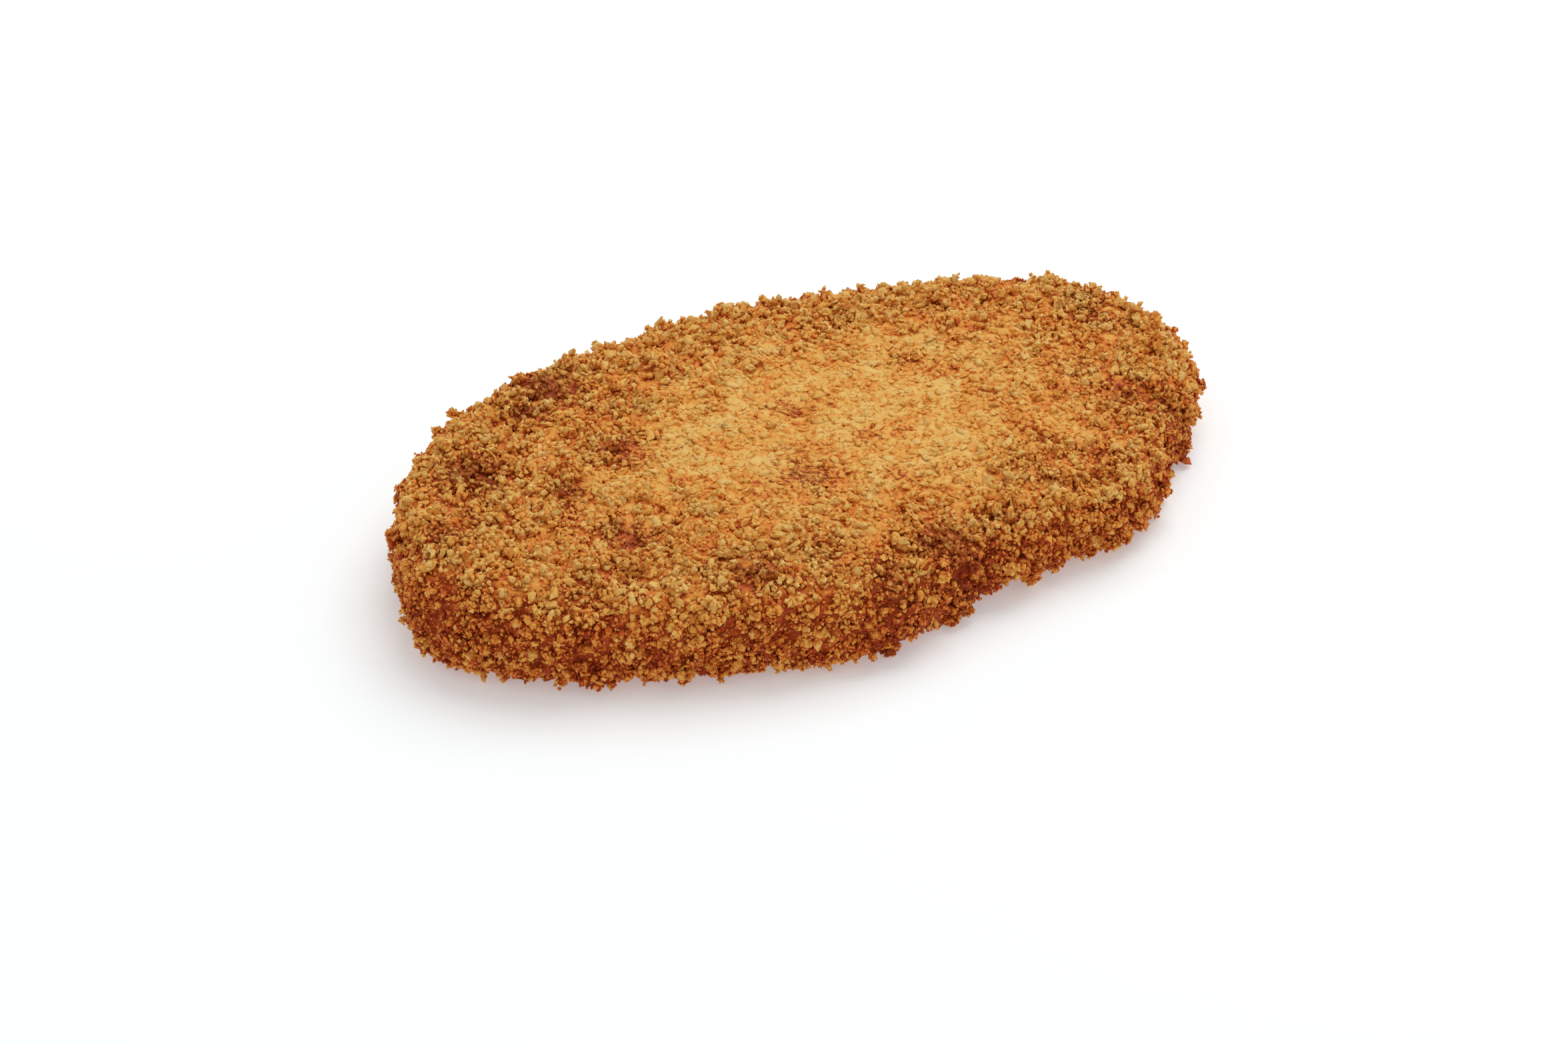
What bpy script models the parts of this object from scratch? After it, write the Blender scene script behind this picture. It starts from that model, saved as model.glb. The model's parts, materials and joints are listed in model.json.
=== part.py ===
"""Breaded schnitzel, a thin flattened cutlet in one piece with its fried crumb coat.

It lies flat on its underside. X runs along its length, Y across it and Z up from the
surface it rests on. Lengths in the named constants are millimetres.
"""
import math

import bmesh
import bpy
from mathutils import Vector, noise

MM = 0.001

# Plan view: the widest line round the edge, anticlockwise from the thin end.
OUTLINE = [
    (75, 7), (71, 19), (62, 28), (46, 35), (29, 41), (11, 44), (-9, 44), (-28, 42),
    (-48, 36), (-63, 24), (-72, 9), (-75, -8), (-66, -21), (-49, -31), (-31, -39),
    (-10, -44), (9, -40), (25, -39), (41, -38), (50, -33), (56, -26), (67, -17), (74, -5),
]
SIDE_STEPS = 120

# Thickness: thick at the rounded heel, thin at the far end.
MID_THICKNESS = 15.5
TAPER = 2.5
TAPER_REACH = 60.0
TAPER_LIMIT = 1.2

# Edge profile: a full upper shoulder, and a tighter one where the edge meets the base.
WIDEST_SHARE = 0.42
UPPER_SHOULDER = 6.5
LOWER_SHOULDER = 3.5
SHOULDER_POWER = 2.2
UPPER_ANGLES = (0, 14, 28, 42, 56, 70, 90)
LOWER_ANGLES = (60, 32, 0)

# Rings of the top and of the base, as shares of the way out from the middle.
TOP_SHARES = (0.92, 0.82, 0.7, 0.56, 0.4, 0.22)
BASE_SHARES = (0.75, 0.4)

# Shallow hollows in the top: x, y, radius, depth.
HOLLOWS = [
    (-30, 11, 8, 0.8), (-43, 3, 7, 0.7), (-40, -12, 9, 0.7), (-6, -9, 10, 0.9),
    (1, 9, 6, 0.6), (-55, 16, 8, 0.9), (-32, 33, 9, 0.9), (52, -14, 8, 0.7),
    (28, 12, 9, 0.5), (10, -28, 9, 0.5),
]

# The crease of a fold in the coat, along the front edge near the thin end.
CREASE = [(-4, -37), (14, -34), (30, -32), (44, -28)]
CREASE_WIDTH = 3.2
CREASE_DEPTH = 1.3

# Uneven swell of the coat: wavelength and height, on the top and round the edge.
TOP_WAVE = 17.0
TOP_SWELL = 0.45
EDGE_WAVE = 8.0
EDGE_SWELL = 0.7
NOISE_OFFSET = Vector((3.1, 7.4, 1.7))


def clear_scene():
    for item in list(bpy.data.objects):
        bpy.data.objects.remove(item, do_unlink=True)


def smooth_closed_curve(points, count):
    """Points at even steps along a closed Catmull-Rom curve."""
    total = len(points)
    curve = []
    for step in range(count):
        place = step * total / count
        index = int(place)
        t = place - index
        a, b, c, d = (Vector(points[(index + k) % total]) for k in (-1, 0, 1, 2))
        curve.append(
            0.5 * (2 * b + (c - a) * t + (2 * a - 5 * b + 4 * c - d) * t**2
                   + (3 * b - a - 3 * c + d) * t**3)
        )
    return curve


def inward_normals(curve):
    """Unit normals in plan, pointing to the inside of an anticlockwise curve."""
    normals = []
    for index in range(len(curve)):
        along = curve[(index + 1) % len(curve)] - curve[index - 1]
        normals.append(Vector((-along.y, along.x)).normalized())
    return normals


def thickness(x):
    share = max(-TAPER_LIMIT, min(TAPER_LIMIT, x / TAPER_REACH))
    return MID_THICKNESS - TAPER * share


def hollow_depth(x, y):
    depth = 0.0
    for centre_x, centre_y, radius, deep in HOLLOWS:
        distance = math.hypot(x - centre_x, y - centre_y) / radius
        depth += deep * math.exp(-1.5 * distance**2)
    return depth


def distance_to_crease(x, y):
    point = Vector((x, y))
    nearest = math.inf
    for start, end in zip(CREASE, CREASE[1:]):
        a, b = Vector(start), Vector(end)
        share = (point - a).dot(b - a) / (b - a).length_squared
        share = max(0.0, min(1.0, share))
        nearest = min(nearest, (point - a.lerp(b, share)).length)
    return nearest


def top_relief(x, y):
    """Height of the uneven top over its plain form."""
    swell = TOP_SWELL * noise.noise(Vector((x, y, 0)) / TOP_WAVE + NOISE_OFFSET)
    crease = CREASE_DEPTH * math.exp(-(distance_to_crease(x, y) / CREASE_WIDTH) ** 2)
    return 2 * swell - hollow_depth(x, y) - crease


def edge_swell(x, y, z):
    """How far the coat bulges out of its plain edge."""
    return 2 * EDGE_SWELL * noise.noise(Vector((x, y, z)) / EDGE_WAVE + NOISE_OFFSET)


def shoulder_point(flat, inward, angle, above):
    """Point of the rounded edge; angle 90 is its widest line, 0 where it turns flat."""
    turn = math.radians(angle)
    reach = UPPER_SHOULDER if above else LOWER_SHOULDER
    plan = flat + inward * reach * (1 - math.sin(turn) ** (2 / SHOULDER_POWER))
    high = thickness(plan.x)
    widest = WIDEST_SHARE * high
    rise = math.cos(turn) ** (2 / SHOULDER_POWER)
    level = widest + (high - widest) * rise if above else widest * (1 - rise)
    swell = edge_swell(plan.x, plan.y, level) * math.sin(turn)
    if above:
        level += top_relief(plan.x, plan.y) * (1 - math.sin(turn))
    return Vector((plan.x - inward.x * swell, plan.y - inward.y * swell, level))


def edge_rings(curve):
    """Closed loops of the edge, from the top's rim down to the base's rim."""
    normals = inward_normals(curve)
    profile = [(angle, True) for angle in UPPER_ANGLES]
    profile += [(angle, False) for angle in LOWER_ANGLES]
    rings = []
    for angle, above in profile:
        rings.append([shoulder_point(p, n, angle, above) for p, n in zip(curve, normals)])
    return rings


def top_ring(rim, share):
    ring = []
    for point in rim:
        x, y = point.x * share, point.y * share
        ring.append(Vector((x, y, thickness(x) + top_relief(x, y))))
    return ring


def base_ring(rim, share):
    return [Vector((point.x * share, point.y * share, 0)) for point in rim]


def add_loop(mesh, ring):
    verts = [mesh.verts.new(point * MM) for point in ring]
    return [mesh.edges.new((a, b)) for a, b in zip(verts, verts[1:] + verts[:1])]


def close_middle(mesh, loop, centre):
    """Fan the innermost loop in to one middle point."""
    middle = mesh.verts.new(centre * MM)
    for edge in loop:
        mesh.faces.new((*edge.verts, middle))


def centre_in_plan(mesh):
    """Move the body so that the middle of its length and width is over the origin."""
    for axis in (0, 1):
        places = [vert.co[axis] for vert in mesh.verts]
        shift = Vector((0, 0, 0))
        shift[axis] = -0.5 * (min(places) + max(places))
        bmesh.ops.translate(mesh, verts=mesh.verts, vec=shift)


def schnitzel_mesh():
    """One closed body: top rings, rounded edge and flat base, bridged loop to loop."""
    edge = edge_rings(smooth_closed_curve(OUTLINE, SIDE_STEPS))
    top = [top_ring(edge[0], share) for share in reversed(TOP_SHARES)]
    base = [base_ring(edge[-1], share) for share in BASE_SHARES]
    mesh = bmesh.new()
    loops = [add_loop(mesh, ring) for ring in top + edge + base]
    for upper, lower in zip(loops, loops[1:]):
        bmesh.ops.bridge_loops(mesh, edges=upper + lower)
    close_middle(mesh, loops[0], Vector((0, 0, thickness(0) + top_relief(0, 0))))
    close_middle(mesh, loops[-1], Vector((0, 0, 0)))
    bmesh.ops.recalc_face_normals(mesh, faces=mesh.faces)
    bmesh.ops.triangulate(mesh, faces=mesh.faces)
    centre_in_plan(mesh)
    data = bpy.data.meshes.new("schnitzel")
    mesh.to_mesh(data)
    mesh.free()
    data.shade_smooth()
    return data


def fried_crumb_coat():
    material = bpy.data.materials.new("fried_crumb_coat")
    material.use_nodes = True
    shader = material.node_tree.nodes["Principled BSDF"]
    shader.inputs["Base Color"].default_value = (0.47, 0.21, 0.05, 1)
    shader.inputs["Roughness"].default_value = 0.55
    shader.inputs["Metallic"].default_value = 0.0
    return material


def schnitzel():
    body = bpy.data.objects.new("schnitzel", schnitzel_mesh())
    body.data.materials.append(fried_crumb_coat())
    bpy.context.collection.objects.link(body)
    return body


clear_scene()
schnitzel()
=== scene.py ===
import itertools
import json
import math

import bmesh
import bpy
import numpy as np
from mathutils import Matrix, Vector, kdtree, noise

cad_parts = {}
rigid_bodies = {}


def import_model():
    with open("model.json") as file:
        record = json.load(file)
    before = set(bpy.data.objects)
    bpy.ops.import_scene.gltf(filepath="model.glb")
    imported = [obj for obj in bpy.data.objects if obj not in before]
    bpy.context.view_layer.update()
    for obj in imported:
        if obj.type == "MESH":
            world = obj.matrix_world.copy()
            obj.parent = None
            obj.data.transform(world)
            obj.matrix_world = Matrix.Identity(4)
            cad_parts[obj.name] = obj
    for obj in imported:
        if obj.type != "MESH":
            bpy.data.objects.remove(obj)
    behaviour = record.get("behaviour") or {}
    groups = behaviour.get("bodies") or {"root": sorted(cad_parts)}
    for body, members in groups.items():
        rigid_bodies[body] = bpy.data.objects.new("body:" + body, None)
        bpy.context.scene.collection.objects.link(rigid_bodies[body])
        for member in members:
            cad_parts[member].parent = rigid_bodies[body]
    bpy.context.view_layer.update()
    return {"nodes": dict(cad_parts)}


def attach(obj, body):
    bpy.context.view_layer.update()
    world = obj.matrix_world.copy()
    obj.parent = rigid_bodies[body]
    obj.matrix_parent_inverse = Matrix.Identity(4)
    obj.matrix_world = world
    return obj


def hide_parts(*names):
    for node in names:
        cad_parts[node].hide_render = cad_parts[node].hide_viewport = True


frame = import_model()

# ---- Table, light and camera -------------------------------------------------------------
# A plain white table top under one broad soft lamp, high up behind the far end, with pale
# fill from all round. The camera looks down on the long front edge from the wide end's side.

MM = 0.001
WHITE = (1, 1, 1, 1)
TABLE_HALF = 3.0
TABLE_COLOUR = (0.82, 0.86, 0.865, 1)
TABLE_ROUGHNESS = 0.8
TABLE_SHINE = 0.1
TABLE_GLOW = 0.27
LAMP_PLACE = Vector((0.6, 0.35, 1.25))
LAMP_WIDTH = 1.3
LAMP_WATTS = 10.0
FILL_STRENGTH = 0.55
AIM = Vector((-11.4, -11.5, 8.0)) * MM
CAMERA_AZIMUTH = -30.0
CAMERA_ELEVATION = 36.0
CAMERA_DISTANCE = 0.714
LENS_LENGTH = 100.0
SENSOR_WIDTH = 36.0
NEAREST_SEEN = 10 * MM


def put(tree, kind, inputs=None, **settings):
    """Add a node; each input is given a plain value or the socket that feeds it."""
    node = tree.nodes.new(kind)
    for name, value in settings.items():
        setattr(node, name, value)
    for key, value in (inputs or {}).items():
        if isinstance(value, bpy.types.NodeSocket):
            tree.links.new(value, node.inputs[key])
        else:
            node.inputs[key].default_value = value
    return node


def new_material(name):
    material = bpy.data.materials.new(name)
    material.use_nodes = True
    material.node_tree.nodes.clear()
    return material


def finish_material(material, shader):
    put(material.node_tree, "ShaderNodeOutputMaterial", {"Surface": shader.outputs[0]})


def link_mesh(name, data):
    thing = bpy.data.objects.new(name, data)
    bpy.context.collection.objects.link(thing)
    return thing


def table_top():
    mesh = bmesh.new()
    bmesh.ops.create_grid(mesh, x_segments=1, y_segments=1, size=TABLE_HALF)
    data = bpy.data.meshes.new("table_top")
    mesh.to_mesh(data)
    mesh.free()
    material = new_material("white_table")
    shader = put(material.node_tree, "ShaderNodeBsdfPrincipled",
                 {"Base Color": TABLE_COLOUR, "Roughness": TABLE_ROUGHNESS,
                  "Specular IOR Level": TABLE_SHINE, "Emission Color": WHITE,
                  "Emission Strength": TABLE_GLOW})
    finish_material(material, shader)
    data.materials.append(material)
    return link_mesh("table_top", data)


def aimed(thing, place, target):
    thing.location = place
    thing.rotation_euler = (target - place).to_track_quat("-Z", "Y").to_euler()
    bpy.context.collection.objects.link(thing)
    return thing


def lamp():
    light = bpy.data.lights.new("lamp", "AREA")
    light.shape = "DISK"
    light.size = LAMP_WIDTH
    light.energy = LAMP_WATTS
    return aimed(bpy.data.objects.new("lamp", light), LAMP_PLACE, Vector((0, 0, 0)))


def fill_light():
    world = bpy.data.worlds.new("pale_room")
    world.use_nodes = True
    room = world.node_tree.nodes["Background"].inputs
    room["Color"].default_value = WHITE
    room["Strength"].default_value = FILL_STRENGTH
    bpy.context.scene.world = world


def camera():
    lens = bpy.data.cameras.new("camera")
    lens.lens = LENS_LENGTH
    lens.sensor_width = SENSOR_WIDTH
    lens.clip_start = NEAREST_SEEN
    turn, rise = math.radians(CAMERA_AZIMUTH), math.radians(CAMERA_ELEVATION)
    back = Vector((math.sin(turn) * math.cos(rise), -math.cos(turn) * math.cos(rise),
                   math.sin(rise)))
    return aimed(bpy.data.objects.new("camera", lens), AIM + back * CAMERA_DISTANCE, AIM)


table_top()
lamp()
fill_light()
bpy.context.scene.camera = camera()
bpy.context.scene.view_settings.view_transform = "Standard"

# ---- Crust -------------------------------------------------------------------------------
# The fried coat itself: wet batter and fine crumb set hard over the cutlet. It is a denser
# copy of the cutlet's body drawn in a little, with fused lumps and pits raised out of it.

MERGE_GAP = 1e-6
CRUST_VOXEL = 0.55 * MM
BASE_THINNING = 0.4

# The masks are worked out in millimetres, and facing is 1 straight up and -1 straight down.
BASE_HEIGHT = 0.6
BASE_FACING = -0.7
SIDE_FACING = 0.4
SIDE_STRIDE = 3
WALL_FACINGS = (0.15, 0.93)
RIM_BAND = (3.0, 14.0)
RIM_WANDER = 4
SMOOTH_MIDDLE = (7, 0, 43, 27)
MIDDLE_BAND = (0.35, 1.55)
MIDDLE_WANDER = 0.3
MIDDLE_FRAY = 0.4
PATCH_FADE = -0.9

# Patches that fried darker: x, y, radius and strength.
SOFT_PATCHES = [
    (-30, 10, 5, 0.75), (-43, 3, 3.5, 0.9), (-40, -12, 5, 0.8), (-6, -10, 5.5, 0.7),
    (-4, -5, 3, 0.5), (1, 8, 4, 0.6), (-55, 15, 6, 0.9), (-32, 33, 6, 1.0),
    (-39, 28, 4, 0.7), (-23, 22, 5, 0.45), (-67, 0, 4, 0.8), (26, 11, 4, 0.4),
    (39, 15, 3.5, 0.45), (14, 28, 3, 0.4), (50, -3, 4, 0.45), (53, -13, 5, 0.7),
    (62, 10, 4, 0.6), (59, -20, 6, 0.6), (28, -26, 4, 0.5), (-28, -30, 6, 0.8),
    (5, -36, 6, 0.9), (-60, 3, 4, 0.5), (-15, -31, 5, 0.5), (40, -30, 7, 0.4),
    (-70, -14, 9, 0.25), (-13, 27, 3, 0.45), (8, -6, 3, 0.4), (7, -18, 3, 0.4),
    (38, 24, 4, 0.5), (22, 29, 3.5, 0.5), (66, 15, 4, 0.6), (-8, -40, 5, 0.7),
    (-45, -22, 4, 0.6), (-55, -22, 4, 0.6), (18, -34, 4, 0.6), (29, -32, 4, 0.4),
    (33, -19, 3, 0.5), (-30, -12, 3, 0.5),
]


def merged_copy(node):
    """The cutlet's body with its triangles joined at their corners, in a new object."""
    mesh = bmesh.new()
    mesh.from_mesh(frame["nodes"][node].data)
    bmesh.ops.remove_doubles(mesh, verts=mesh.verts, dist=MERGE_GAP)
    data = bpy.data.meshes.new("body")
    mesh.to_mesh(data)
    mesh.free()
    return link_mesh("body", data)


def worked_in(thing, name):
    """Plain mesh data of an object with its modifiers worked in."""
    state = bpy.context.evaluated_depsgraph_get()
    data = bpy.data.meshes.new_from_object(thing.evaluated_get(state))
    data.name = name
    return data


def applied(thing, name):
    """New object with the modifiers worked in, in place of the old one."""
    data = worked_in(thing, name)
    bpy.data.objects.remove(thing)
    return link_mesh(name, data)


def places_and_normals(data):
    places = np.empty(len(data.vertices) * 3, np.float32)
    data.vertices.foreach_get("co", places)
    normals = np.empty(len(data.vertices) * 3, np.float32)
    data.vertex_normals.foreach_get("vector", normals)
    return places.reshape(-1, 3) / MM, normals.reshape(-1, 3)


def denser(thing):
    """Even fine faces all over, and fewer of them on the hidden base."""
    remesh = thing.modifiers.new("remesh", "REMESH")
    remesh.mode = "VOXEL"
    remesh.voxel_size = CRUST_VOXEL
    thing = applied(thing, "crust_bed")
    places, normals = places_and_normals(thing.data)
    low = np.nonzero((places[:, 2] < BASE_HEIGHT) & (normals[:, 2] < BASE_FACING))[0]
    group = thing.vertex_groups.new(name="base")
    group.add([int(index) for index in low], 1.0, "REPLACE")
    thin = thing.modifiers.new("thin", "DECIMATE")
    thin.vertex_group = "base"
    thin.ratio = 1 - BASE_THINNING
    return applied(thing, "crust_bed")


def eased(values, low, high):
    """0 below low and 1 above high, with a soft bend at both ends."""
    share = np.clip((values - low) / (high - low), 0, 1)
    return share * share * (3 - 2 * share)


def distance_from_side(places, normals):
    """How far each place lies in from the nearest upright side, seen from above."""
    side = np.nonzero(np.abs(normals[:, 2]) < SIDE_FACING)[0][::SIDE_STRIDE]
    tree = kdtree.KDTree(len(side))
    for index in side:
        tree.insert((places[index, 0], places[index, 1], 0), index)
    tree.balance()
    return np.array([tree.find((x, y, 0))[2] for x, y, z in places], np.float32)


def add_mask(data, name, values):
    mask = data.attributes.new(name, "FLOAT", "POINT")
    mask.data.foreach_set("value", values.astype(np.float32))


def read_mask(data, name):
    values = np.empty(len(data.vertices), np.float32)
    data.attributes[name].data.foreach_get("value", values)
    return values


def ragged(places, wave, seed):
    """Smooth random number from -1 to 1 at each place, changing over this wavelength."""
    shift = Vector((seed, 2 * seed, 3 * seed))
    return np.array([noise.noise(Vector(place) / wave + shift) for place in places])


def mark_crust(data):
    """Masks: rim is 1 where crumb is loose, wall on the sides, brown where it fried dark."""
    places, normals = places_and_normals(data)
    inland = distance_from_side(places, normals) + RIM_WANDER * ragged(places, wave=7.0, seed=1.3)
    rim = 1 - eased(inland, *RIM_BAND)
    centre_x, centre_y, half_x, half_y = SMOOTH_MIDDLE
    out = np.hypot((places[:, 0] - centre_x) / half_x, (places[:, 1] - centre_y) / half_y)
    out += (MIDDLE_WANDER * ragged(places, wave=9.0, seed=4.1)
            + MIDDLE_FRAY * ragged(places, wave=3.2, seed=2.7))
    rim = np.maximum(rim, eased(out, *MIDDLE_BAND))
    wall = 1 - eased(normals[:, 2], *WALL_FACINGS)
    brown = np.zeros(len(places))
    for x, y, radius, strength in SOFT_PATCHES:
        far = np.hypot(places[:, 0] - x, places[:, 1] - y) / radius
        brown = np.maximum(brown, strength * np.exp(PATCH_FADE * far**2))
    add_mask(data, "rim", rim)
    add_mask(data, "brown", brown)
    add_mask(data, "wall", wall)


def new_tree(name, inputs):
    """Geometry Nodes tree with a shape in, a shape out and the named inputs."""
    tree = bpy.data.node_groups.new(name, "GeometryNodeTree")
    tree.interface.new_socket("Shape", in_out="INPUT", socket_type="NodeSocketGeometry")
    tree.interface.new_socket("Shape", in_out="OUTPUT", socket_type="NodeSocketGeometry")
    for label, kind in inputs.items():
        tree.interface.new_socket(label, in_out="INPUT", socket_type="NodeSocket" + kind)
    return tree, put(tree, "NodeGroupInput").outputs


def end_tree(tree, shape, material):
    """Last nodes of every tree: no instance left, and the material on."""
    shape = put(tree, "GeometryNodeRealizeInstances", {"Geometry": shape}).outputs[0]
    shape = put(tree, "GeometryNodeSetMaterial",
                {"Geometry": shape, "Material": material}).outputs[0]
    put(tree, "NodeGroupOutput", {"Shape": shape})


def grow(thing, tree, values, name):
    """Run a tree on an object with these input values; the result is a plain mesh."""
    modifier = thing.modifiers.new(tree.name, "NODES")
    modifier.node_group = tree
    keys = {item.name: item.identifier for item in tree.interface.items_tree
            if item.in_out == "INPUT"}
    for label, value in values.items():
        modifier[keys[label]] = value
    data = worked_in(thing, name)
    thing.modifiers.remove(modifier)
    return link_mesh(name, data)


def maths(tree, operation, *values):
    return put(tree, "ShaderNodeMath", dict(enumerate(values)), operation=operation).outputs[0]


def vector_maths(tree, operation, *values):
    inputs = dict(enumerate(values))
    if operation == "SCALE":
        inputs[3] = inputs.pop(1)
    node = put(tree, "ShaderNodeVectorMath", inputs, operation=operation)
    return node.outputs["Value" if operation == "DOT_PRODUCT" else "Vector"]


def blend(tree, share, low, high):
    """Number between low and high."""
    return put(tree, "ShaderNodeMix", {0: share, 2: low, 3: high}).outputs[0]


def place_of(tree):
    return put(tree, "GeometryNodeInputPosition").outputs[0]


def mark_of(tree, name, kind="FLOAT"):
    return put(tree, "GeometryNodeInputNamedAttribute", {"Name": name}, data_type=kind).outputs[0]


def with_mark(tree, shape, name, value, kind="FLOAT", domain="POINT"):
    return put(tree, "GeometryNodeStoreNamedAttribute",
               {"Geometry": shape, "Name": name, "Value": value},
               data_type=kind, domain=domain).outputs[0]


def moved(tree, shape, direction, distance):
    return put(tree, "GeometryNodeSetPosition",
               {"Geometry": shape,
                "Offset": vector_maths(tree, "SCALE", direction, distance)}).outputs[0]


LOWEST = 0.05 * MM


def set_down(tree, shape, smooth):
    """Keep a shape off the table, and set how it is shaded."""
    parts = put(tree, "ShaderNodeSeparateXYZ", {0: place_of(tree)}).outputs
    height = maths(tree, "MAXIMUM", parts[2], LOWEST)
    lifted = put(tree, "ShaderNodeCombineXYZ", {0: parts[0], 1: parts[1], 2: height}).outputs[0]
    shape = put(tree, "GeometryNodeSetPosition",
                {"Geometry": shape, "Position": lifted}).outputs[0]
    return put(tree, "GeometryNodeSetShadeSmooth",
               {"Geometry": shape, "Shade Smooth": smooth}).outputs[0]


CRUST_SIZES = {
    "Centre Inset": 0.25 * MM, "Rim Inset": 1.1 * MM, "Centre Relief": 0.55 * MM,
    "Rim Relief": 1.4 * MM, "Wall Relief": 1.9 * MM, "Lump Size": 2.1 * MM,
    "Grain Size": 1.05 * MM,
}
WARP_FINENESS = 500.0
WARP_REACH = 1.2 * MM
LUMP_SOFTNESS = 0.5
WAVE_FINENESS = 190.0
LUMP_LEVEL = 0.45
GRAIN_SHARE = 0.45
WAVE_SHARE = 1.1
CREST_STEEPNESS = 1.5
CREST_LEVEL = -0.25
MIDDLE_SHADE = 0.5
RIM_SHADE = -1.0


def crust_tree():
    """Draw the bed in, then raise fused lumps and sink pits along its normals."""
    tree, given = new_tree("crust_relief",
                           {**dict.fromkeys(CRUST_SIZES, "Float"), "Material": "Material"})
    place = place_of(tree)
    normal = put(tree, "GeometryNodeInputNormal").outputs[0]
    rim, wall = mark_of(tree, "rim"), mark_of(tree, "wall")
    warp = put(tree, "ShaderNodeTexNoise",
               {"Vector": place, "Scale": WARP_FINENESS, "Detail": 1.0}).outputs["Color"]
    shift = vector_maths(tree, "SCALE",
                         vector_maths(tree, "SUBTRACT", warp, (0.5, 0.5, 0.5)), WARP_REACH)
    warped = vector_maths(tree, "ADD", place, shift)
    lumps = put(tree, "ShaderNodeTexVoronoi",
                {"Vector": warped, "Scale": maths(tree, "DIVIDE", 1.0, given["Lump Size"]),
                 "Smoothness": LUMP_SOFTNESS}, feature="SMOOTH_F1").outputs["Distance"]
    grains = put(tree, "ShaderNodeTexVoronoi",
                 {"Vector": warped, "Scale": maths(tree, "DIVIDE", 1.0, given["Grain Size"])},
                 feature="F1").outputs["Distance"]
    waves = put(tree, "ShaderNodeTexNoise",
                {"Vector": place, "Scale": WAVE_FINENESS, "Detail": 2.0}).outputs["Fac"]
    lumps = maths(tree, "SUBTRACT", LUMP_LEVEL, lumps)
    grains = maths(tree, "MULTIPLY", maths(tree, "SUBTRACT", LUMP_LEVEL, grains), GRAIN_SHARE)
    waves = maths(tree, "MULTIPLY", maths(tree, "SUBTRACT", waves, 0.5), WAVE_SHARE)
    rise = maths(tree, "ADD", maths(tree, "ADD", lumps, grains), waves)
    relief = blend(tree, rim, given["Centre Relief"],
                   blend(tree, wall, given["Rim Relief"], given["Wall Relief"]))
    inset = blend(tree, rim, given["Centre Inset"], given["Rim Inset"])
    height = maths(tree, "SUBTRACT", maths(tree, "MULTIPLY", rise, relief), inset)
    shape = moved(tree, given["Shape"], normal, height)
    # Crust tone: paler in the smooth middle; the dark rust at the rim shows in the pits between
    # crumbs as painted shade.
    shape = with_mark(tree, shape, "shade", blend(tree, rim, MIDDLE_SHADE, RIM_SHADE))
    crest = maths(tree, "MULTIPLY_ADD", rise, CREST_STEEPNESS, CREST_LEVEL)
    shape = with_mark(tree, shape, "tip", blend(tree, rim, 0.0, crest))
    end_tree(tree, set_down(tree, shape, True), given["Material"])
    return tree


# Crumb colour, rust to straw: own tone, also painted shade in gaps and painted light on free
# tips.
CRUMB_TONES_AND_SHADE = [
    (0.45, 0.055, 0.008, 1), (0.70, 0.160, 0.018, 1), (0.81, 0.295, 0.041, 1),
    (0.85, 0.410, 0.074, 1), (0.86, 0.490, 0.114, 1), (0.87, 0.565, 0.175, 1),
]
BROWNED = (0.34, 0.060, 0.008, 1)
GRAIN_WIDTH = 0.34 * MM
GRAIN_BUMP = 0.35
GRAIN_DEPTH = 0.3 * MM
CRUMB_SHINE = 0.2
OIL_BREAKS = (0.3, 0.7)
OIL_ROUGHNESS = (0.4, 0.7)
FINEST_GRAINS = 1.7
FLECK_FINENESS = 0.45
BEND_FINENESS = 0.5
BEND_REACH = 4.0
FLAKE_FINENESS = 0.25
DRIFT_FINENESS = 170.0
# How far openness moves the colour, middle to rim: painted shade in gaps, painted light on tips.
PAINTED_GAP_SHADE = (0.4, 0.66)
LIGHT_START = 1.02
BROWNED_BAND = (-1.15, -0.45)
BROWNED_SHARE = 0.8


def ramp(tree, value, band, ends=(0.0, 1.0)):
    """Number that bends softly from the first end to the second across the band."""
    return put(tree, "ShaderNodeMapRange",
               {"Value": value, "From Min": band[0], "From Max": band[1],
                "To Min": ends[0], "To Max": ends[1]},
               interpolation_type="SMOOTHSTEP").outputs[0]


def shader_mask(tree, name):
    return put(tree, "ShaderNodeAttribute", attribute_name=name).outputs["Fac"]


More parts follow.
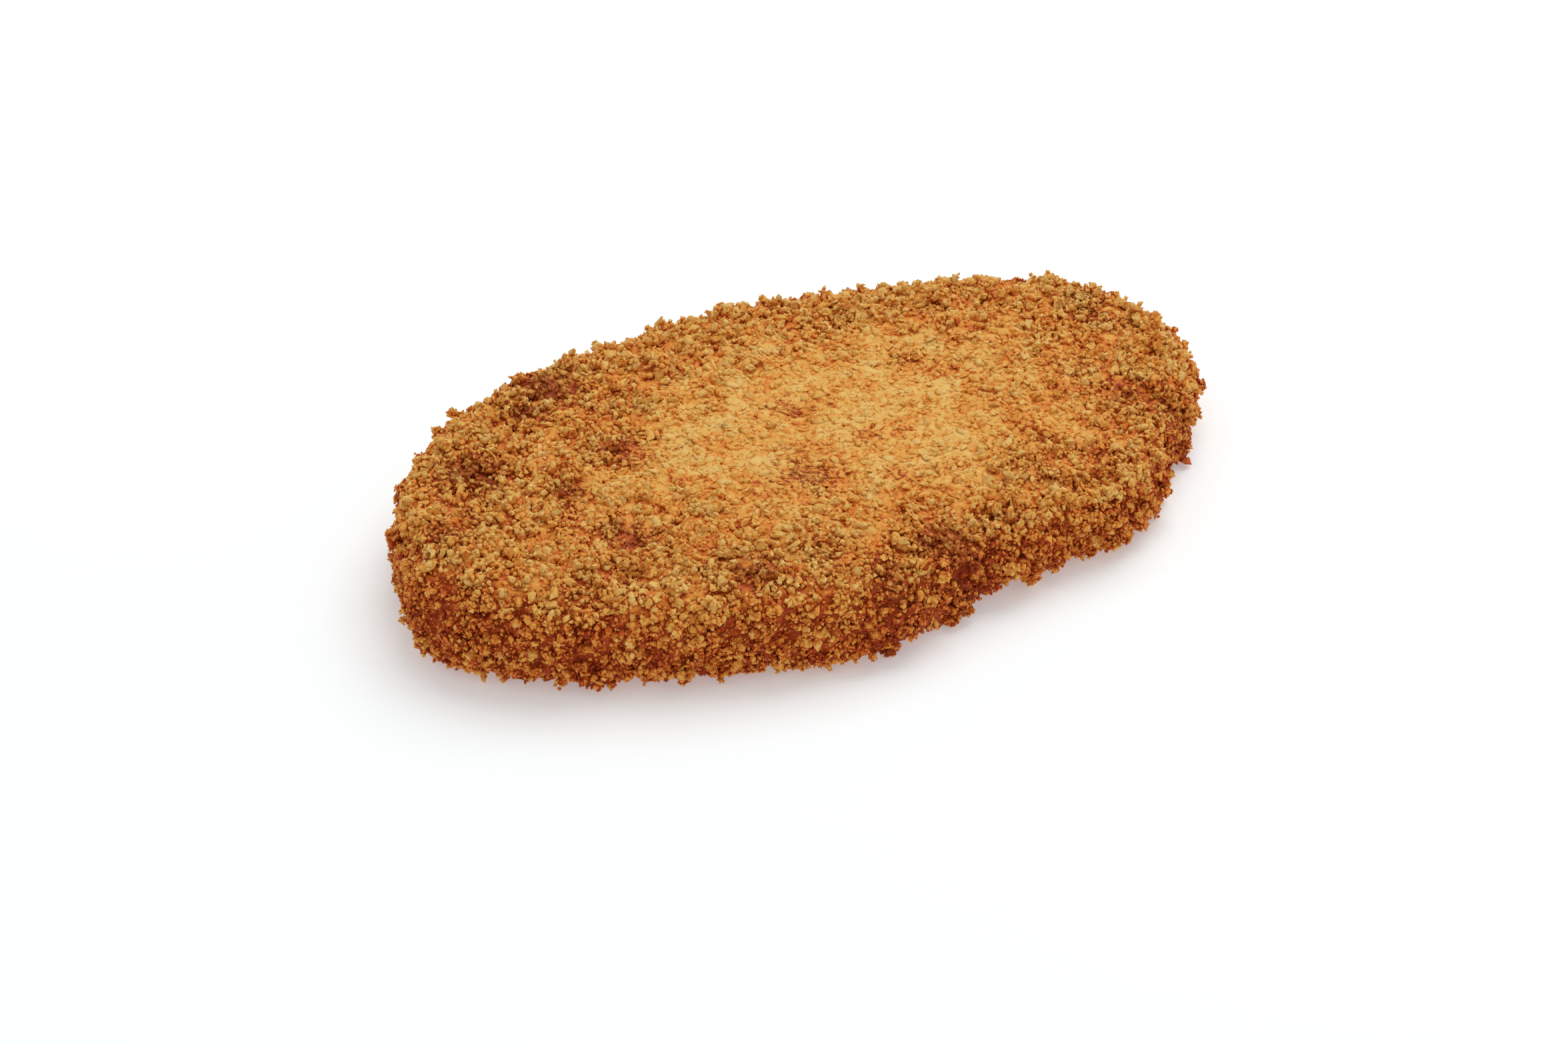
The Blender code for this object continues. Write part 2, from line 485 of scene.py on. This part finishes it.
def fried_grain():
    """Group: fine hard grains, oily flecks and torn flakes of fried crumb, as plain values."""
    tree = bpy.data.node_groups.new("fried_grain", "ShaderNodeTree")
    tree.interface.new_socket("Grain Size", in_out="INPUT", socket_type="NodeSocketFloat")
    for label in ("Height", "Fleck", "Flake"):
        tree.interface.new_socket(label, in_out="OUTPUT", socket_type="NodeSocketFloat")
    size = put(tree, "NodeGroupInput").outputs["Grain Size"]
    place = put(tree, "ShaderNodeTexCoord").outputs["Object"]
    scale = maths(tree, "DIVIDE", 1.0, size)

    def mottle(fineness, detail):
        return put(tree, "ShaderNodeTexNoise",
                   {"Vector": place, "Scale": maths(tree, "MULTIPLY", scale, fineness),
                    "Detail": detail}).outputs

    grains = put(tree, "ShaderNodeTexVoronoi", {"Vector": place, "Scale": scale})
    height = maths(tree, "ADD", maths(tree, "SUBTRACT", 1.0, grains.outputs["Distance"]),
                   mottle(FINEST_GRAINS, 2.0)["Fac"])
    bend = vector_maths(tree, "SCALE", mottle(BEND_FINENESS, 2.0)["Color"],
                        maths(tree, "MULTIPLY", size, BEND_REACH))
    flakes = put(tree, "ShaderNodeTexVoronoi",
                 {"Vector": vector_maths(tree, "ADD", place, bend),
                  "Scale": maths(tree, "MULTIPLY", scale, FLAKE_FINENESS)})
    flake = put(tree, "ShaderNodeSeparateColor", {0: flakes.outputs["Color"]}).outputs[0]
    put(tree, "NodeGroupOutput",
        {"Height": height, "Fleck": mottle(FLECK_FINENESS, 3.0)["Fac"], "Flake": flake})
    return tree


def sum_of(tree, *terms):
    """Sum of (value, weight) pairs."""
    total = 0.0
    for value, weight in terms:
        total = maths(tree, "MULTIPLY_ADD", value, weight, total)
    return total


def crumb_tone_and_shade(tree, doneness):
    """Crumb colour: 0 is dark rust, also used as painted shade, then orange and gold, up to 1 for
    pale straw.
    """
    scale = put(tree, "ShaderNodeValToRGB", {"Fac": doneness})
    stops = scale.color_ramp.elements
    for number in range(1, len(CRUMB_TONES_AND_SHADE) - 1):
        stops.new(number / (len(CRUMB_TONES_AND_SHADE) - 1))
    for stop, colour in zip(stops, CRUMB_TONES_AND_SHADE):
        stop.color = colour
    return scale.outputs["Color"]


def crumb_colour(tree, fleck, flake):
    """Crumb's own uneven tone and browned patches, with painted light on free tips and painted
    shade, rust, in the gaps and on the wall.
    """
    place = put(tree, "ShaderNodeTexCoord").outputs["Object"]
    drift = put(tree, "ShaderNodeTexNoise",
                {"Vector": place, "Scale": DRIFT_FINENESS, "Detail": 3.0}).outputs["Fac"]
    free, shade = shader_mask(tree, "free"), shader_mask(tree, "shade")
    rim, wall = shader_mask(tree, "rim"), shader_mask(tree, "wall")
    brown = shader_mask(tree, "brown")
    uneven = sum_of(tree, (fleck, 1.1), (drift, 1.1), (shade, 0.3), (flake, 0.3))
    # Painted shade and light: colour sinks to rust where free is low, deep in gaps and more so on
    # the wall, the wall is darkened all over, and free tips go pale.
    gap_shade_depth = sum_of(tree, (blend(tree, rim, *PAINTED_GAP_SHADE), 1.0), (wall, 0.15))
    light = sum_of(tree, (uneven, 1.0), (maths(tree, "MULTIPLY", free, gap_shade_depth), 1.0),
                   (wall, -0.5), (rim, -0.15), (brown, -0.4))
    colour = crumb_tone_and_shade(tree, maths(tree, "SUBTRACT", light, LIGHT_START))
    # Browned patches are the coat's own darker frying; low free draws them further into the gaps
    # as painted shade.
    patch = ramp(tree, sum_of(tree, (brown, 1.0), (fleck, -1.6), (free, -0.8)), BROWNED_BAND)
    return put(tree, "ShaderNodeMix",
               {0: maths(tree, "MULTIPLY", patch, BROWNED_SHARE), 6: colour, 7: BROWNED},
               data_type="RGBA").outputs[2]


def fried_crumb():
    """Fried crumb: mottled gold to rust, grainy, with a thin broken film of oil."""
    material = new_material("fried_crumb")
    tree = material.node_tree
    grain = put(tree, "ShaderNodeGroup", node_tree=fried_grain())
    grain.inputs["Grain Size"].default_value = GRAIN_WIDTH
    fleck = grain.outputs["Fleck"]
    colour = crumb_colour(tree, fleck, grain.outputs["Flake"])
    normal = put(tree, "ShaderNodeBump", {"Strength": GRAIN_BUMP, "Distance": GRAIN_DEPTH,
                                          "Height": grain.outputs["Height"]}).outputs[0]
    shader = put(tree, "ShaderNodeBsdfPrincipled",
                 {"Base Color": colour, "Normal": normal,
                  "Roughness": ramp(tree, fleck, OIL_BREAKS, OIL_ROUGHNESS),
                  "Specular IOR Level": CRUMB_SHINE})
    finish_material(material, shader)
    return material


CRUMB = fried_crumb()
bed = denser(merged_copy("schnitzel"))
mark_crust(bed.data)
crust = grow(bed, crust_tree(), {**CRUST_SIZES, "Material": CRUMB}, "crust")
bpy.data.objects.remove(bed)

# ---- Loose crumbs ------------------------------------------------------------------------
# Dried breadcrumbs, from coarse lumps to specks, that stuck to the wet coat and fried hard.
# Each is its own broken lump, sunk part way in; they lie flatter and closer in the middle.

DOWN_FACINGS = (-0.9, -0.5)
CLUMP_FINENESS = 260.0
CLUMP_BAND = (0.4, 0.56)
CLUMP_LEAST = (0.8, 0.5)
PIT_BAND = (-0.4, -0.1)
SIZE_BIAS = 1.8
LIFT_SPREAD = 0.3
LEAN = (0.15, 1.2)
SLIMMEST = (0.85, 0.65, 0.75)
STOUTEST = (1.3, 1.0, 1.1)
SPECK_SEGMENTS = 4
SPECK_RINGS = 2
SHAPE_SPREAD = 90.0
TORN_FINENESS = 1.3
TORN_SHARE = 2.6
NOB_FINENESS = 1.7
NOB_SHARE = 1.3
TEARING_SHARES = (0.6, 1.0)
DEEPEST_TEAR = -0.65
CAP_PRESS = -0.85


def gate(tree, value, band, least):
    """1 above the band, falling evenly to least below it."""
    return put(tree, "ShaderNodeMapRange",
               {"Value": value, "From Min": band[0], "From Max": band[1],
                "To Min": least}).outputs[0]


def crumb_tree():
    """Scatter crumbs over the crust, each torn into its own shape by noise."""
    tree, given = new_tree("crumb_scatter", {
        "Chance": "String", "Spacing": "Float", "Crowding": "Float", "Smallest": "Float",
        "Largest": "Float", "Length": "Float", "Centre Flatness": "Float",
        "Rim Flatness": "Float", "Centre Lift": "Float", "Rim Lift": "Float",
        "Centre Cap": "Float", "Rim Cap": "Float", "Pit Share": "Float", "Tearing": "Float",
        "Detail": "Int", "Round": "Bool", "Seed": "Int", "Material": "Material"})
    place = place_of(tree)
    rim = mark_of(tree, "rim")

    def seed(number):
        """Own seed for each numbered draw."""
        return maths(tree, "ADD", given["Seed"], float(number))

    def any_number(low, high, number):
        return put(tree, "FunctionNodeRandomValue", {2: low, 3: high, 8: seed(number)},
                   data_type="FLOAT").outputs[1]

    # Where crumbs lie: in clumps, and seldom down in the crust's pits.
    clumps = put(tree, "ShaderNodeTexNoise",
                 {"Vector": place, "Scale": CLUMP_FINENESS, "Detail": 1.0}).outputs["Fac"]
    least = maths(tree, "MAXIMUM", given["Pit Share"], blend(tree, rim, *CLUMP_LEAST))
    chance = maths(tree, "MULTIPLY", mark_of(tree, given["Chance"]),
                   gate(tree, clumps, CLUMP_BAND, least))
    chance = maths(tree, "MULTIPLY", chance,
                   gate(tree, mark_of(tree, "tip"), PIT_BAND, given["Pit Share"]))
    spread = put(tree, "GeometryNodeDistributePointsOnFaces",
                 {"Mesh": given["Shape"], "Distance Min": given["Spacing"],
                  "Density Max": given["Crowding"], "Density Factor": chance,
                  "Seed": given["Seed"]}, distribute_method="POISSON").outputs

    # How big each one is, how far it stands out and how it is turned.
    size = maths(tree, "POWER", any_number(0.0, 1.0, 1), SIZE_BIAS)
    radius = maths(tree, "MULTIPLY", blend(tree, size, given["Smallest"], given["Largest"]), 0.5)
    flat = blend(tree, rim, given["Centre Flatness"], given["Rim Flatness"])
    lift = maths(tree, "ADD", blend(tree, rim, given["Centre Lift"], given["Rim Lift"]),
                 any_number(-LIFT_SPREAD, LIFT_SPREAD, 2))
    rise = maths(tree, "MULTIPLY", maths(tree, "MULTIPLY", lift, radius), flat)
    out = spread["Normal"]
    points = moved(tree, spread["Points"], out, rise)
    lean = blend(tree, rim, *LEAN)
    tilt = put(tree, "ShaderNodeCombineXYZ",
               {0: maths(tree, "MULTIPLY", lean, any_number(-1.0, 1.0, 3)),
                1: maths(tree, "MULTIPLY", lean, any_number(-1.0, 1.0, 4)),
                2: any_number(0.0, math.tau, 5)}).outputs[0]
    turned = put(tree, "FunctionNodeRotateRotation",
                 {"Rotation": spread["Rotation"], "Rotate By": tilt},
                 rotation_space="LOCAL").outputs[0]
    stretch = put(tree, "FunctionNodeRandomValue", {0: SLIMMEST, 1: STOUTEST, 8: seed(6)},
                  data_type="FLOAT_VECTOR").outputs[0]
    squash = put(tree, "ShaderNodeCombineXYZ", {0: given["Length"], 1: 1.0, 2: flat}).outputs[0]
    scale = vector_maths(tree, "SCALE", vector_maths(tree, "MULTIPLY", stretch, squash), radius)

    # Plain lumps set on the points; the smallest specks have eight faces.
    ball = put(tree, "GeometryNodeMeshIcoSphere",
               {"Radius": 1.0, "Subdivisions": given["Detail"]}).outputs[0]
    speck = put(tree, "GeometryNodeMeshUVSphere",
                {"Radius": 1.0, "Segments": SPECK_SEGMENTS, "Rings": SPECK_RINGS}).outputs[0]
    tiny = put(tree, "FunctionNodeCompare", {2: given["Detail"], 3: 0},
               data_type="INT", operation="EQUAL").outputs[0]
    lump = put(tree, "GeometryNodeSwitch", {"Switch": tiny, "False": ball, "True": speck},
               input_type="GEOMETRY").outputs[0]
    crumbs = put(tree, "GeometryNodeInstanceOnPoints",
                 {"Points": points, "Instance": lump, "Rotation": turned,
                  "Scale": scale}).outputs[0]
    crumbs = with_mark(tree, crumbs, "root", place, "FLOAT_VECTOR", "INSTANCE")
    crumbs = with_mark(tree, crumbs, "out", out, "FLOAT_VECTOR", "INSTANCE")
    crumbs = with_mark(tree, crumbs, "half", radius, domain="INSTANCE")
    crumbs = with_mark(tree, crumbs, "shade", any_number(0.0, 1.0, 7), domain="INSTANCE")
    crumbs = put(tree, "GeometryNodeRealizeInstances", {"Geometry": crumbs}).outputs[0]

    # Each lump is torn out of round about its own root.
    half = mark_of(tree, "half")
    out = mark_of(tree, "out", "FLOAT_VECTOR")
    from_root = vector_maths(tree, "SUBTRACT", place, mark_of(tree, "root", "FLOAT_VECTOR"))
    unit = vector_maths(tree, "DIVIDE", from_root,
                        put(tree, "ShaderNodeCombineXYZ", {0: half, 1: half, 2: half}).outputs[0])
    own = maths(tree, "MULTIPLY", mark_of(tree, "shade"), SHAPE_SPREAD)
    torn = put(tree, "ShaderNodeTexNoise",
               {"Vector": unit, "W": own, "Scale": TORN_FINENESS, "Detail": 3.0,
                "Roughness": 0.8}, noise_dimensions="4D").outputs["Fac"]
    nobs = put(tree, "ShaderNodeTexVoronoi",
               {"Vector": unit, "W": own, "Scale": NOB_FINENESS},
               voronoi_dimensions="4D").outputs["Distance"]
    torn = maths(tree, "MULTIPLY", maths(tree, "SUBTRACT", torn, 0.5), TORN_SHARE)
    nobs = maths(tree, "MULTIPLY", maths(tree, "SUBTRACT", 0.5, nobs), NOB_SHARE)
    swell = maths(tree, "MULTIPLY", maths(tree, "ADD", torn, nobs), given["Tearing"])
    swell = maths(tree, "MULTIPLY", swell, blend(tree, rim, *TEARING_SHARES))
    crumbs = moved(tree, crumbs, from_root, maths(tree, "MAXIMUM", swell, DEEPEST_TEAR))

    # What stands out too far is pressed in, and every point keeps how high up its lump it is.
    height = vector_maths(tree, "DOT_PRODUCT", from_root, out)
    cap = blend(tree, rim, given["Centre Cap"], given["Rim Cap"])
    over = maths(tree, "MAXIMUM", maths(tree, "SUBTRACT", height, cap), 0.0)
    crumbs = moved(tree, crumbs, out, maths(tree, "MULTIPLY", over, CAP_PRESS))
    crumbs = with_mark(tree, crumbs, "tip", maths(tree, "DIVIDE", height, half))
    end_tree(tree, set_down(tree, crumbs, given["Round"]), given["Material"])
    return tree


def add_chances(data):
    """Chance masks: where each kind of crumb may lie on the crust."""
    normals = places_and_normals(data)[1]
    rim, wall = read_mask(data, "rim"), read_mask(data, "wall")
    open_side = eased(normals[:, 2], *DOWN_FACINGS)
    add_mask(data, "edge_chance", open_side * (0.8 + 0.2 * rim))
    add_mask(data, "wall_chance", open_side * wall)
    add_mask(data, "top_chance", open_side * (1 - wall) * (0.9 + 0.1 * rim))


# Widths in metres; Crowding is the most crumbs that may lie on a square metre.
KINDS = {
    "coarse_crumbs": {
        "Chance": "edge_chance", "Spacing": 1.25 * MM, "Crowding": 700000.0,
        "Smallest": 1.6 * MM, "Largest": 2.7 * MM, "Length": 1.15,
        "Centre Flatness": 0.36, "Rim Flatness": 0.85, "Centre Lift": -0.3, "Rim Lift": 0.2,
        "Centre Cap": 0.45 * MM, "Rim Cap": 1.8 * MM, "Pit Share": 0.1, "Tearing": 0.9,
        "Detail": 2, "Round": True, "Seed": 3},
    "middling_crumbs": {
        "Chance": "edge_chance", "Spacing": 0.78 * MM, "Crowding": 1500000.0,
        "Smallest": 1.1 * MM, "Largest": 2.2 * MM, "Length": 1.15,
        "Centre Flatness": 0.4, "Rim Flatness": 0.9, "Centre Lift": -0.2, "Rim Lift": 0.3,
        "Centre Cap": 0.4 * MM, "Rim Cap": 1.6 * MM, "Pit Share": 0.4, "Tearing": 0.9,
        "Detail": 1, "Round": False, "Seed": 29},
    "fine_crumbs": {
        "Chance": "edge_chance", "Spacing": 0.75 * MM, "Crowding": 250000.0,
        "Smallest": 0.6 * MM, "Largest": 1.2 * MM, "Length": 1.1,
        "Centre Flatness": 0.5, "Rim Flatness": 1.0, "Centre Lift": -0.1, "Rim Lift": 0.5,
        "Centre Cap": 0.35 * MM, "Rim Cap": 1.0 * MM, "Pit Share": 0.8, "Tearing": 0.7,
        "Detail": 1, "Round": False, "Seed": 71},
    "wall_specks": {
        "Chance": "wall_chance", "Spacing": 0.4 * MM, "Crowding": 1900000.0,
        "Smallest": 0.45 * MM, "Largest": 1.0 * MM, "Length": 1.1,
        "Centre Flatness": 0.8, "Rim Flatness": 1.0, "Centre Lift": 0.0, "Rim Lift": 0.4,
        "Centre Cap": 0.2 * MM, "Rim Cap": 1.0 * MM, "Pit Share": 1.0, "Tearing": 0.5,
        "Detail": 0, "Round": False, "Seed": 97},
    "top_specks": {
        "Chance": "top_chance", "Spacing": 0.52 * MM, "Crowding": 660000.0,
        "Smallest": 0.5 * MM, "Largest": 1.3 * MM, "Length": 1.1,
        "Centre Flatness": 0.5, "Rim Flatness": 1.0, "Centre Lift": -0.15, "Rim Lift": 0.4,
        "Centre Cap": 0.3 * MM, "Rim Cap": 1.0 * MM, "Pit Share": 1.0, "Tearing": 0.5,
        "Detail": 0, "Round": False, "Seed": 131},
}
# Finer crumbs settle on these as well as on the crust.
HEAPED = ("coarse_crumbs", "middling_crumbs")


def joined(things):
    """One object made of copies of these."""
    copies = [link_mesh("heap", thing.data.copy()) for thing in things]
    with bpy.context.temp_override(active_object=copies[0], selected_editable_objects=copies):
        bpy.ops.object.join()
    return copies[0]


scatter = crumb_tree()
add_chances(crust.data)
pieces = {"crust": crust}
heap = crust
for kind, sizes in KINDS.items():
    pieces[kind] = grow(heap, scatter, {**sizes, "Material": CRUMB}, kind)
    if kind in HEAPED:
        heap = joined(list(pieces.values()))

# ---- Finished coat -----------------------------------------------------------------------
# Crust and crumbs fried together into one coat. Each piece is marked with how open it lies,
# which gives painted light, pale on free tips, and painted shade, rust in the gaps,
# and takes the body's place.

GAP_START = 0.04 * MM
GAP_LEAN = 0.9
GAP_REACH = 1.6 * MM
FEELERS = list(itertools.product((-1, 1), repeat=3))


def gap_tree():
    """Feel round every point for other crumbs: free is 1 on its own, 0 deep in a gap."""
    tree, given = new_tree("crumb_gaps",
                           {"Heap": "Object", "Reach": "Float", "Material": "Material"})
    normal = put(tree, "GeometryNodeInputNormal").outputs[0]
    others = put(tree, "GeometryNodeObjectInfo", {"Object": given["Heap"]}).outputs["Geometry"]
    start = vector_maths(tree, "ADD", place_of(tree),
                         vector_maths(tree, "SCALE", normal, GAP_START))
    total = 0.0
    for feeler in FEELERS:
        lean = Vector(feeler).normalized() * GAP_LEAN
        ray = put(tree, "GeometryNodeRaycast", {
            "Target Geometry": others, "Source Position": start,
            "Ray Direction": vector_maths(tree, "ADD", normal, lean),
            "Ray Length": given["Reach"]}).outputs
        run = maths(tree, "DIVIDE", ray["Hit Distance"], given["Reach"])
        run = put(tree, "GeometryNodeSwitch",
                  {"Switch": ray["Is Hit"], "False": 1.0, "True": run},
                  input_type="FLOAT").outputs[0]
        total = maths(tree, "ADD", run, total)
    free = maths(tree, "DIVIDE", total, float(len(FEELERS)))
    end_tree(tree, with_mark(tree, given["Shape"], "free", free), given["Material"])
    return tree


gaps = gap_tree()
heap = joined(list(pieces.values()))
for kind, bare in pieces.items():
    bare.name = "bare"
    piece = grow(bare, gaps, {"Heap": heap, "Reach": GAP_REACH, "Material": CRUMB}, kind)
    bpy.data.objects.remove(bare)
    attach(piece, "root")
    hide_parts("schnitzel")
heaps = [thing for thing in bpy.data.objects if thing.name.startswith("heap")]
for thing in heaps:
    bpy.data.objects.remove(thing)
